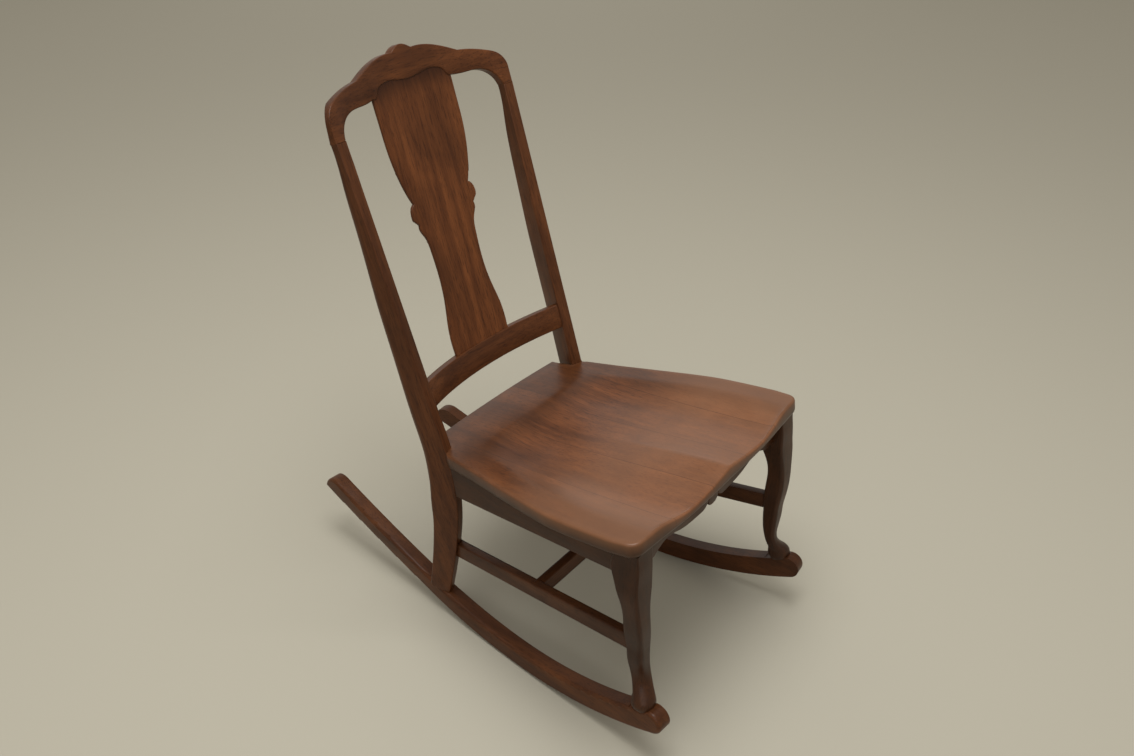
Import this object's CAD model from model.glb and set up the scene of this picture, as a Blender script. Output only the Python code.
"""Looks of an armless wooden sewing rocker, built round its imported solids."""
import math
import bmesh
import bpy
from mathutils import Matrix, Vector
from mathutils.bvhtree import BVHTree


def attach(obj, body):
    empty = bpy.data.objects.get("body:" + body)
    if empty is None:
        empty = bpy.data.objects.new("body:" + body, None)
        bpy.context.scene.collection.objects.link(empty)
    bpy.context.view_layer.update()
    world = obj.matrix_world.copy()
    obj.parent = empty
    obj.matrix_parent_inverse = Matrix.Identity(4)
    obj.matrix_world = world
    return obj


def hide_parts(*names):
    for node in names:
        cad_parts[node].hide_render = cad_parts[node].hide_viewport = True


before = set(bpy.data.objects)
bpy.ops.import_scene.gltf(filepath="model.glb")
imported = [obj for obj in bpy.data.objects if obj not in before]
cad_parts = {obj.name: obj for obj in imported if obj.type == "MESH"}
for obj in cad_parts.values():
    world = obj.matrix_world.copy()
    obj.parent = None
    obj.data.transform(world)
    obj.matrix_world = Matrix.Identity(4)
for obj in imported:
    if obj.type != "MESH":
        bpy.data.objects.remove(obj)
scene = bpy.context.scene
scene.view_settings.view_transform = "Standard"
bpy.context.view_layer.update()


# Node trees, written as plain arithmetic
class Socket:
    """A value in a node tree that can be used in plain arithmetic."""

    def __init__(self, tree, link):
        self.tree = tree
        self.link = link

    def math(self, operation, *others):
        return self.tree.node("ShaderNodeMath", {"operation": operation}, [self, *others])

    def __add__(self, other):
        return self.math("ADD", other)

    def __sub__(self, other):
        return self.math("SUBTRACT", other)

    def __rsub__(self, other):
        return self.tree.node("ShaderNodeMath", {"operation": "SUBTRACT"}, [other, self])

    def __mul__(self, other):
        return self.math("MULTIPLY", other)

    def __truediv__(self, other):
        return self.math("DIVIDE", other)

    def __pow__(self, other):
        return self.math("POWER", other)

    __radd__ = __add__
    __rmul__ = __mul__

    def __abs__(self):
        return self.math("ABSOLUTE")

    def clamp(self):
        return self.tree.node("ShaderNodeClamp", {}, [self, 0.0, 1.0])

    def step(self, start, stop):
        """Smoothly from 0 at start to 1 at stop."""
        return self.tree.node("ShaderNodeMapRange", {"interpolation_type": "SMOOTHSTEP"},
                              [self, start, stop, 0.0, 1.0])


class Tree:
    """A node tree whose nodes are all added by one method."""

    def __init__(self, tree):
        self.nodes = tree.nodes
        self.links = tree.links

    def feed(self, socket, value):
        if isinstance(value, Socket):
            self.links.new(value.link, socket)
        else:
            socket.default_value = value

    def add(self, kind, settings, values):
        """Adds a node; its inputs' values or links are a list, or go by name or number."""
        made = self.nodes.new(kind)
        for name, value in settings.items():
            setattr(made, name, value)
        pairs = values.items() if isinstance(values, dict) else enumerate(values)
        for key, value in pairs:
            self.feed(made.inputs[key], value)
        return made

    def node(self, kind, settings, values, output=0):
        """Adds a node and gives one of its outputs."""
        return Socket(self, self.add(kind, settings, values).outputs[output])

    def parts(self, vector):
        """The x, y and z of a vector."""
        made = self.add("ShaderNodeSeparateXYZ", {}, [vector])
        return [Socket(self, output) for output in made.outputs]


class Finish(Tree):
    """A material."""

    def __init__(self, name):
        self.material = bpy.data.materials.new(name)
        self.material.use_nodes = True
        super().__init__(self.material.node_tree)
        self.shader = self.nodes["Principled BSDF"]

    def mix(self, share, first, second):
        """From a first colour to a second: a Mix node's inputs 6 and 7, and its output 2."""
        return self.node("ShaderNodeMix", {"data_type": "RGBA"}, {0: share, 6: first, 7: second}, 2)

    def noise(self, place, scale, detail=3.0, rough=0.55, twist=0.0):
        return self.node("ShaderNodeTexNoise", {}, {
            "Vector": place, "Scale": scale, "Detail": detail, "Roughness": rough, "Distortion": twist})

    def attribute(self, name):
        return self.node("ShaderNodeAttribute", {"attribute_name": name}, {}, "Fac")

    def set(self, name, value):
        self.feed(self.shader.inputs[name], value)


def linear(red, green, blue):
    """A colour written as it looks on a screen, 0 to 255, for a shader."""
    parts = []
    for value in (red, green, blue):
        share = value / 255
        parts.append(share / 12.92 if share <= 0.04045 else ((share + 0.055) / 1.055) ** 2.4)
    return (*parts, 1.0)


def plain_finish(name, colour, roughness, metallic=0.0):
    """A finish that is the same all over."""
    finish = Finish(name)
    finish.set("Base Color", linear(*colour))
    finish.set("Metallic", metallic)
    finish.set("Roughness", roughness)
    return finish.material


# Stained hardwood: its colours as they look on a screen. Glue lines lie half a board's width off the
# boards' middles, and dirt gathers within JOINT_DIRT metres under a joint
DARK_STAIN = (38, 19, 9)
MIDDLE_STAIN = (80, 44, 22)
LIGHT_STAIN = (116, 68, 36)
RUBBED = (138, 94, 64)
GRIMY = (46, 26, 12)
GLUE_LINE = (30, 17, 9)
GRAIN_STRETCH = 0.06
BOARD_WIDTH = 0.092
BOARD_SHIFT = (3.1, 7.7, 1.3)
GLUE_LINE_EDGES = (0.4945, 0.4975)
JOINT_DIRT = 0.034
SHINE = 0.15
SEAT_SHINE = 0.28
COAT_ROUGHNESS = 0.28
BUMP_STRENGTH = 0.1
BUMP_DEPTH = 0.0005


def boards_apart(finish, place, turned):
    """Gives each seat board its own grain; also the distance off a board's middle, in widths."""
    across = finish.parts(place)[0] / BOARD_WIDTH + 0.5
    count = across.math("FLOOR")
    offset = finish.node("ShaderNodeCombineXYZ", {}, [count * shift for shift in BOARD_SHIFT])
    apart = finish.node("ShaderNodeVectorMath", {"operation": "ADD"}, [turned, offset])
    return apart, abs(across - count - 0.5)


def seat_wear(finish, colour, grime, patina, smudge, off_middle):
    """Rubs the seat pale, darkens its grimy places and draws the glue lines between its boards."""
    rub = finish.attribute("rub") * (0.35 + smudge * 0.75 + patina * 0.4)
    colour = finish.mix(rub.clamp() * 0.8, colour, linear(*RUBBED))
    colour = finish.mix((grime * (0.6 + smudge * 0.8)).clamp() * 0.85, colour, linear(*GRIMY))
    return finish.mix(off_middle.step(*GLUE_LINE_EDGES) * 0.65, colour, linear(*GLUE_LINE))


def stained_wood(name, along, tone=1.0, lean=0.0, shift=0.0, gloss=0.36, coat=0.08, joint=None,
                 seat=False):
    """Dark stained hardwood with its grain along an axis; joint is a height that it darkens up to."""
    finish = Finish(name)
    place = finish.node("ShaderNodeTexCoord", {}, {}, "Object")
    turned = finish.node("ShaderNodeMapping", {}, {
        "Vector": place, "Location": (shift, shift * 0.7, shift * 0.4), "Rotation": (lean, 0, 0)})
    if seat:
        turned, off_middle = boards_apart(finish, place, turned)
    stretch = [GRAIN_STRETCH if axis == along else 1.0 for axis in "XYZ"]
    grain = finish.node("ShaderNodeMapping", {}, {"Vector": turned, "Scale": stretch})
    broad = finish.noise(grain, scale=26.0, detail=4.0, twist=0.6)
    figure = finish.noise(grain, scale=110.0, detail=5.0, rough=0.62, twist=0.2)
    pores = finish.noise(grain, scale=700.0, rough=0.6)
    patina = finish.noise(place, scale=6.0, detail=4.0, twist=0.3)
    smudge = finish.noise(place, scale=31.0, rough=0.6)
    dark, middle, light = [linear(*[value * tone for value in stain])
                           for stain in (DARK_STAIN, MIDDLE_STAIN, LIGHT_STAIN)]
    # Light streaks along the grain, then dark pores and dark patches of old finish
    streak = (broad.step(0.36, 0.7) * 0.55 + figure.step(0.34, 0.72) * 0.5).clamp()
    colour = finish.mix(streak, middle, light)
    colour = finish.mix(pores.step(0.5, 0.68) * 0.6, colour, dark)
    colour = finish.mix(patina.step(0.42, 0.72) * 0.42, colour, dark)
    if joint:
        height = finish.parts(place)[2]
        colour = finish.mix(height.step(joint - JOINT_DIRT, joint) * 0.75, colour, dark)
    if seat:
        grime = finish.attribute("grime")
        colour = seat_wear(finish, colour, grime, patina, smudge, off_middle)
        coat = (1 - grime) * coat
    finish.set("Base Color", colour)
    finish.set("Roughness", (patina * 0.14 + figure * 0.1 + smudge * 0.1 + (gloss - 0.15)).clamp())
    finish.set("Specular IOR Level", SEAT_SHINE if seat else SHINE)
    finish.set("Coat Weight", coat)
    finish.set("Coat Roughness", COAT_ROUGHNESS)
    finish.set("Normal", finish.node("ShaderNodeBump", {}, {
        "Strength": BUMP_STRENGTH, "Distance": BUMP_DEPTH, "Height": pores * 0.5 + figure * 0.5}))
    return finish.material


# How the seat and the back lie, in metres: both start at the line where the seat meets the back
JOINT_Y = 0.0518
SEAT_REAR_HEIGHT = 0.344
SEAT_SLOPE = math.radians(8.6)
BACK_LEAN = math.radians(18.62)
ON_JOINT = Matrix.Translation((0, JOINT_Y, SEAT_REAR_HEIGHT))
ON_SEAT = ON_JOINT @ Matrix.Rotation(-SEAT_SLOPE, 4, "X")
ON_BACK = ON_JOINT @ Matrix.Rotation(-BACK_LEAN, 4, "X")

# The saddle seat: a flat blank with rounded edges, hollowed by a rule. Its outline is in the seat's
# own plane, where the side's curve holds pairs of y and half width, and the rest pairs of x and y.
# The bows of its front and rear edges grow from a y, its start, over a length
SEAT_THICK = 0.025
FRONT_Y = -0.3725
FRONT_CORNER = Vector((0.206, FRONT_Y))
CORNER_ROUND = 0.020
CORNER_STEPS = 6
SIDE_CURVE = [(-0.372, 0.226), (-0.345, 0.2285), (-0.251, 0.226), (-0.205, 0.219), (-0.142, 0.206),
              (-0.067, 0.190), (-0.008, 0.179)]
SIDE_END = SIDE_CURVE[-1][0]
SIDE_ROWS = 52
SLOPE_REACH = 0.002
LEAST_MITRE = 0.5
NOTCH = [(0.1725, 0.001), (0.1543, 0.0071), (0.1524, 0.024), (0.1513, 0.051)]
NOTCH_END = (0.14, 0.0517)
FRONT_BOW = 0.0085
FRONT_BOW_START = -0.25
FRONT_BOW_LENGTH = 0.1425
REAR_BOW = 0.005
REAR_BOW_START = -0.02
REAR_BOW_LENGTH = 0.065
COLUMNS = 96
TOP_ROUND = 0.004
TOP_STEPS = 4
UNDER_ROUND = 0.008
UNDER_STEPS = 3
SEAT_SHARP = math.radians(50)


def half_width(y):
    """The seat's half width at y, from a smooth curve through a few places."""
    count = len(SIDE_CURVE)
    index = max(i for i in range(count - 1) if SIDE_CURVE[i][0] <= y + 1e-9)
    slopes = []
    for i in (index, index + 1):
        before, after = SIDE_CURVE[max(i - 1, 0)], SIDE_CURVE[min(i + 1, count - 1)]
        slopes.append((after[1] - before[1]) / (after[0] - before[0]))
    (start, first), (stop, last) = SIDE_CURVE[index], SIDE_CURVE[index + 1]
    span = stop - start
    t = (y - start) / span
    return (first * (2 * t ** 3 - 3 * t ** 2 + 1) + last * (3 * t ** 2 - 2 * t ** 3)
            + span * (slopes[0] * (t ** 3 - 2 * t ** 2 + t) + slopes[1] * (t ** 3 - t ** 2)))


def seat_side():
    """The left side's outline from front to rear: place, outward direction and whether it is rounded."""
    side = []
    for step in range(CORNER_STEPS + 1):
        angle = math.radians(90 * step / CORNER_STEPS)
        outward = Vector((math.sin(angle), -math.cos(angle)))
        side.append((FRONT_CORNER + outward * CORNER_ROUND, outward, True))
    for step in range(1, SIDE_ROWS + 1):
        y = FRONT_Y + (SIDE_END - FRONT_Y) * step / SIDE_ROWS
        ahead, behind = half_width(y - SLOPE_REACH), half_width(min(y + SLOPE_REACH, SIDE_END))
        slope = (behind - ahead) / (2 * SLOPE_REACH)
        side.append((Vector((half_width(y), y)), Vector((1, -slope)).normalized(), True))
    outline = [Vector(point) for point in (SIDE_CURVE[-1][::-1], *NOTCH, NOTCH_END)]
    for before, here, after in zip(outline, outline[1:], outline[2:]):
        first, last = (here - before).normalized(), (after - here).normalized()
        mitre = Vector((first.y, -first.x)) + Vector((last.y, -last.x))
        mitre /= max(mitre.length_squared / 2, LEAST_MITRE)
        side.append((here, mitre, after is outline[-1]))
    return side


def seat_top(shape, inset, side):
    """The top's rows of vertices, from front to rear, with the faces between them."""
    rows = []
    for place, outward, _ in side:
        end = place - outward * TOP_ROUND
        front_share = min(max((FRONT_BOW_START - place.y) / FRONT_BOW_LENGTH, 0), 1)
        rear_share = min(max((place.y - REAR_BOW_START) / REAR_BOW_LENGTH, 0), 1)
        bow = REAR_BOW * rear_share - FRONT_BOW * front_share
        row = []
        for column in range(COLUMNS + 1):
            u = 2 * column / COLUMNS - 1
            vert = shape.verts.new((end.x * u, end.y + bow * (1 - u * u), 0))
            vert[inset] = TOP_ROUND + end.x * (1 - abs(u))
            row.append(vert)
        rows.append(row)
    for front, rear in zip(rows, rows[1:]):
        for column in range(COLUMNS):
            shape.faces.new((front[column], front[column + 1], rear[column + 1], rear[column]))
    return rows


def seat_rim(rows, side):
    """The vertices round the top, each with its outward direction and whether its edge is rounded."""
    rim = []
    for vert in rows[0][:-1]:
        tilt = vert.co.x * 2 * FRONT_BOW / FRONT_CORNER.x ** 2
        rim.append((vert, Vector((tilt, -1)).normalized(), True))
    for row, (_, outward, rounded) in zip(rows, side):
        rim.append((row[-1], outward, rounded))
    for vert in rows[-1][-2:0:-1]:
        tilt = vert.co.x * 2 * REAR_BOW / NOTCH[-1][0] ** 2
        rim.append((vert, Vector((tilt, 1)).normalized(), True))
    for row, (_, outward, rounded) in reversed(list(zip(rows, side))[1:]):
        rim.append((row[0], Vector((-outward.x, outward.y)), rounded))
    return rim


def edge_levels():
    """The edge's levels: share of the top round outwards and drop, where it is rounded and where not."""
    levels = []
    for step in range(1, TOP_STEPS + 1):
        way = math.radians(90 * step / TOP_STEPS)
        levels.append(((math.sin(way), TOP_ROUND * (1 - math.cos(way))), (step / TOP_STEPS, 0)))
    for step in range(UNDER_STEPS + 1):
        way = math.radians(90 * step / UNDER_STEPS)
        drop = SEAT_THICK - UNDER_ROUND * (1 - math.sin(way))
        levels.append(((1 - (1 - math.cos(way)) * UNDER_ROUND / TOP_ROUND, drop), (1, drop)))
    return levels


def seat_blank():
    """The blank's mesh in the seat's own plane, with each vertex's distance from the sides."""
    shape = bmesh.new()
    inset = shape.verts.layers.float.new("inset")
    side = seat_side()
    rim = seat_rim(seat_top(shape, inset, side), side)
    ring = [vert for vert, _, _ in rim]
    for level in edge_levels():
        below = []
        for vert, outward, rounded in rim:
            out, drop = level[0] if rounded else level[1]
            flat = vert.co.xy + outward * (TOP_ROUND * out)
            made = shape.verts.new((flat.x, flat.y, -drop))
            made[inset] = vert[inset]
            below.append(made)
        for corners in zip(ring, below, below[1:] + below[:1], ring[1:] + ring[:1]):
            shape.faces.new(corners)
        ring = below
    shape.faces.new(ring[::-1])
    shape.normal_update()
    mesh = bpy.data.meshes.new("seat_blank")
    shape.to_mesh(mesh)
    shape.free()
    return mesh


def soft_start(share, bend):
    """Bends a share that grows from 0 to 1 so that it leaves 0 level; a larger bend is longer."""
    return share * share * (bend + 1) / (share + bend)


def saddle_tree(wood):
    """Hollows the blank: two thigh scoops that leave a ridge in front, and a dish behind them."""
    group = bpy.data.node_groups.new("saddle", "GeometryNodeTree")
    sockets = group.interface
    sockets.new_socket("Geometry", in_out="INPUT", socket_type="NodeSocketGeometry")
    sizes = {"Thickness": SEAT_THICK, "Depth": 0.392, "Scoop depth": 0.013, "Dish depth": 0.0135,
             "Side margin": 0.042, "Side narrowing": 0.01, "Rear margin": 0.034, "Side slope": 0.085,
             "Rear slope": 0.095, "Side bend": 0.9, "Least bend": 0.06, "Ridge half width": 0.105,
             "Ridge start": 0.15, "Ridge end": 0.385, "Ridge share": 0.97, "Ridge power": 1.5}
    for name, amount in sizes.items():
        sockets.new_socket(name, in_out="INPUT", socket_type="NodeSocketFloat").default_value = amount
    sockets.new_socket("Geometry", in_out="OUTPUT", socket_type="NodeSocketGeometry")
    tree = Tree(group)
    entry = tree.add("NodeGroupInput", {}, [])
    size = {name: Socket(tree, entry.outputs[name]) for name in sizes}
    x, y, z = tree.parts(tree.node("GeometryNodeInputPosition", {}, []))
    inset = tree.node("GeometryNodeInputNamedAttribute", {"data_type": "FLOAT"}, {"Name": "inset"})
    ahead = 0.0 - y
    forward = (ahead / size["Depth"]).clamp()
    side = (inset - size["Side margin"] + forward * size["Side narrowing"]) / size["Side slope"]
    side = soft_start(side.clamp(), forward * forward * size["Side bend"] + size["Least bend"])
    rear = (ahead - size["Rear margin"]) / size["Rear slope"]
    rear = soft_start(rear.clamp(), size["Least bend"])
    hollow = (1 - (1 - side) ** 2) * (1 - (1 - rear) ** 2)
    crest = (1 - (abs(x) / size["Ridge half width"]).clamp()) ** size["Ridge power"]
    ridge = ahead.step(size["Ridge start"], size["Ridge end"]) * size["Ridge share"]
    deep = size["Dish depth"] + (size["Scoop depth"] - size["Dish depth"]) * forward
    deep = deep * hollow * (1 - ridge * crest)
    thick = size["Thickness"]
    lower = (z + thick) * (thick - deep) / thick - thick
    moved = tree.node("ShaderNodeCombineXYZ", {}, [x, y, lower])
    # Sitters rub the front half, the rim and the ridge; dirt stays at the sides, the rear and the edge
    rub = (ahead.step(0.1, 0.28) * (0.85 - side * 0.35)
           + inset.step(0.012, 0.004) * 0.3 + ridge * crest * 0.2)
    grime = (side.step(0.3, 0.0) * rear.step(0.0, 0.3) * 0.3 + (1 - rear.step(0.0, 0.45)) * 0.5
             + z.step(-0.002, -0.009) * 0.8)
    shaped = Socket(tree, entry.outputs["Geometry"])
    on_points = {"data_type": "FLOAT", "domain": "POINT"}
    for name, amount in (("rub", rub), ("grime", grime)):
        shaped = tree.node("GeometryNodeStoreNamedAttribute", on_points, {
            "Geometry": shaped, "Name": name, "Value": amount.clamp()})
    shaped = tree.node("GeometryNodeSetPosition", {}, {"Geometry": shaped, "Position": moved})
    shaped = tree.node("GeometryNodeRealizeInstances", {}, {"Geometry": shaped})
    shaped = tree.node("GeometryNodeSetMaterial", {}, {"Geometry": shaped, "Material": wood})
    tree.add("NodeGroupOutput", {}, {"Geometry": shaped})
    return group


def plain_mesh(item, name):
    """Gives the item its evaluated mesh in place of its modifiers."""
    graph = bpy.context.evaluated_depsgraph_get()
    mesh = bpy.data.meshes.new_from_object(item.evaluated_get(graph), preserve_all_data_layers=True,
                                           depsgraph=graph)
    mesh.name = name
    item.modifiers.clear()
    item.data = mesh
    return mesh


def saddle_seat(wood):
    """The seat in one piece, for its five boards."""
    item = bpy.data.objects.new("saddle_seat", seat_blank())
    scene.collection.objects.link(item)
    item.modifiers.new("saddle", "NODES").node_group = saddle_tree(wood)
    mesh = plain_mesh(item, "saddle_seat")
    mesh.transform(ON_SEAT)
    mesh.shade_smooth()
    mesh.set_sharp_from_angle(angle=SEAT_SHARP)
    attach(item, "root")
    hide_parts(*[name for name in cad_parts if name.startswith("seat_board")])


# The other pieces: copies of the solids whose free arrises are eased. Vertices within MERGE become one
# and faces that turn less than FLAT join. A free arris turns more than ARRIS_TURN, and no other piece
# is within TOUCH of it
MERGE = 2e-5
FLAT = math.radians(0.3)
ARRIS_TURN = math.radians(30)
TOUCH = 0.0003
ARRIS_STEPS = 3
SHARP = math.radians(38)
CREST_UNDERSIDE = 0.852
GRAIN_SHIFT = 1.7

# The crest's feet, in the back's own plane: they start at BACK_HEIGHT on the posts, reach FOOT_RISE up
# and lie outside FOOT_FROM, where the crest is bowed and the posts' front faces turn in by POST_TURN
BACK_HEIGHT = 0.4884
FOOT_RISE = 0.045
FOOT_FROM = 0.1
CREST_BOW = 0.027
CREST_HALF = 0.185
POST_TURN = math.radians(6)


def whole_chair():
    """A search tree over every solid's faces, and the piece that each face belongs to."""
    corners, faces, owners = [], [], []
    for name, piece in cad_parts.items():
        base = len(corners)
        corners += [vert.co.copy() for vert in piece.data.vertices]
        for face in piece.data.polygons:
            faces.append([base + corner for corner in face.vertices])
            owners.append(name)
    return BVHTree.FromPolygons(corners, faces), owners


solids, owners = whole_chair()


def flush_feet(shape):
    """Draws the crest's feet forward to lie flush with the posts' front faces, which turn in less."""
    back = ON_BACK.inverted()
    for vert in shape.verts:
        place = back @ vert.co
        rise = place.z - BACK_HEIGHT
        across = abs(place.x)
        if rise < FOOT_RISE and across > FOOT_FROM:
            bowed = CREST_BOW * (1 - (across / CREST_HALF) ** 2)
            flat = (CREST_HALF - across) * math.tan(POST_TURN)
            place.y += (flat - bowed) * (1 - rise / FOOT_RISE) ** 2
            vert.co = ON_BACK @ place


def mark_arrises(shape, name):
    """Weights the outward edges of a piece wherever no other piece touches them."""
    weight = shape.edges.layers.float.new("bevel_weight_edge")
    for edge in shape.edges:
        if len(edge.link_faces) == 2 and edge.calc_face_angle_signed(0) > ARRIS_TURN:
            middle = (edge.verts[0].co + edge.verts[1].co) / 2
            near = solids.find_nearest_range(middle, TOUCH)
            if all(owners[hit[2]] == name for hit in near):
                edge[weight] = 1.0


def eased(name, width, wood):
    """A copy of a piece, with its marked arrises rounded where a width is given."""
    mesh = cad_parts[name].data.copy()
    normals = mesh.attributes.get("custom_normal")
    if normals:
        mesh.attributes.remove(normals)
    shape = bmesh.new()
    shape.from_mesh(mesh)
    bmesh.ops.remove_doubles(shape, verts=shape.verts, dist=MERGE)
    bmesh.ops.dissolve_limit(shape, angle_limit=FLAT, verts=shape.verts, edges=shape.edges)
    mark_arrises(shape, name)
    if name == "crest_rail":
        flush_feet(shape)
    shape.to_mesh(mesh)
    shape.free()
    mesh.materials.clear()
    mesh.materials.append(wood)
    item = bpy.data.objects.new(name + "_wood", mesh)
    scene.collection.objects.link(item)
    if width:
        rounding = item.modifiers.new("arrises", "BEVEL")
        rounding.width = width
        rounding.segments = ARRIS_STEPS
        rounding.limit_method = "WEIGHT"
        rounding.use_clamp_overlap = False
    mesh = plain_mesh(item, name + "_wood")
    mesh.shade_smooth()
    mesh.set_sharp_from_angle(angle=SHARP)
    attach(item, "root")
    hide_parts(name)


saddle_seat(stained_wood("seat_wood", "Y", tone=1.06, gloss=0.34, coat=0.16, seat=True))
PIECES = {
    # piece: how far its arrises are eased, in metres, and its wood
    "rocker": (0, {"along": "Y", "tone": 0.84}),
    "rear_post": (0.0015, {"along": "Z", "tone": 0.9, "lean": BACK_LEAN}),
    "front_leg": (0, {"along": "Z", "tone": 0.66, "coat": 0.14}),
    "crest_rail": (0.002, {"along": "X", "tone": 0.98}),
    "back_splat": (0.0015, {"along": "Z", "tone": 1.08, "lean": BACK_LEAN, "joint": CREST_UNDERSIDE}),
    "lower_back_rail": (0.0016, {"along": "X", "tone": 0.9}),
    "front_apron": (0.0012, {"along": "X", "tone": 0.72}),
    "rear_apron": (0.0008, {"along": "X", "tone": 0.7}),
    "side_apron": (0.001, {"along": "Y", "tone": 0.66}),
    "side_stretcher": (0.0022, {"along": "Y", "tone": 0.74}),
    "cross_stretcher": (0.0022, {"along": "X", "tone": 0.74}),
}
for number, (kind, (width, looks)) in enumerate(PIECES.items()):
    wood = stained_wood(kind + "_wood", shift=GRAIN_SHIFT * number, **looks)
    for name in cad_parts:
        if name in (kind, kind + "_left", kind + "_right"):
            eased(name, width, wood)

# Hidden fastenings and blocks keep their solids
HIDDEN = {
    "dowels": plain_finish("beech_dowel", (196, 162, 116), 0.7),
    "screws": plain_finish("steel_screw", (128, 126, 120), 0.42, metallic=1.0),
    "corner_block": stained_wood("block_wood", "X", tone=1.5, gloss=0.6),
    "plugs": stained_wood("plug_wood", "Z", tone=0.8),
}
for name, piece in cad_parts.items():
    for kind, material in HIDDEN.items():
        if kind in name:
            piece.data.materials.clear()
            piece.data.materials.append(material)
    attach(piece, "root")

# The floor, the room's own light and the lamps
FLOOR_SIZE = 40
ROOM_COLOUR = (1.0, 0.95, 0.86, 1.0)
ROOM_STRENGTH = 0.45
bpy.ops.mesh.primitive_plane_add(size=FLOOR_SIZE, location=(0, 0, 0))
floor = bpy.context.object
floor.name = "floor"
floor.data.materials.append(plain_finish("pale_floor", (182, 177, 161), 0.9))
world = bpy.data.worlds.new("room")
scene.world = world
world.use_nodes = True
background = world.node_tree.nodes["Background"]
background.inputs["Color"].default_value = ROOM_COLOUR
background.inputs["Strength"].default_value = ROOM_STRENGTH
LAMPS = {
    # lamp: its place, the point that it faces, its size in metres and its power in watts
    "key": ((-0.3, -0.2, 3.0), (0, 0, 0.3), 1.6, 58),
    "fill": ((-2.4, -1.4, 2.0), (0, 0, 0.3), 2.0, 12),
    "wall": ((4.0, 3.6, 2.2), (0, -0.1, 0.4), 3.6, 14),
}
for name, (place, target, size, power) in LAMPS.items():
    light = bpy.data.lights.new(name, "AREA")
    light.energy = power
    light.size = size
    lamp = bpy.data.objects.new(name, light)
    scene.collection.objects.link(lamp)
    lamp.location = place
    lamp.rotation_mode = "QUATERNION"
    lamp.rotation_quaternion = (Vector(target) - Vector(place)).to_track_quat("-Z", "Y")

# The photograph's view: the film's width and the lens are in millimetres
FILM_WIDTH = 36
LENS = 33.19
EYE_PLACE = (-1.0802, -0.8877, 1.3089)
AZIMUTH = math.radians(-52.18)
ELEVATION = math.radians(32.56)
ROLL = math.radians(-0.244)
eye = bpy.data.cameras.new("eye")
eye.sensor_width = FILM_WIDTH
eye.lens = LENS
camera = bpy.data.objects.new("eye", eye)
scene.collection.objects.link(camera)
scene.camera = camera
camera.location = EYE_PLACE
ahead = Vector((-math.sin(AZIMUTH) * math.cos(ELEVATION), math.cos(AZIMUTH) * math.cos(ELEVATION),
                -math.sin(ELEVATION)))
camera.rotation_mode = "QUATERNION"
camera.rotation_quaternion = (Matrix.Rotation(ROLL, 3, ahead).to_quaternion()
                              @ ahead.to_track_quat("-Z", "Y"))
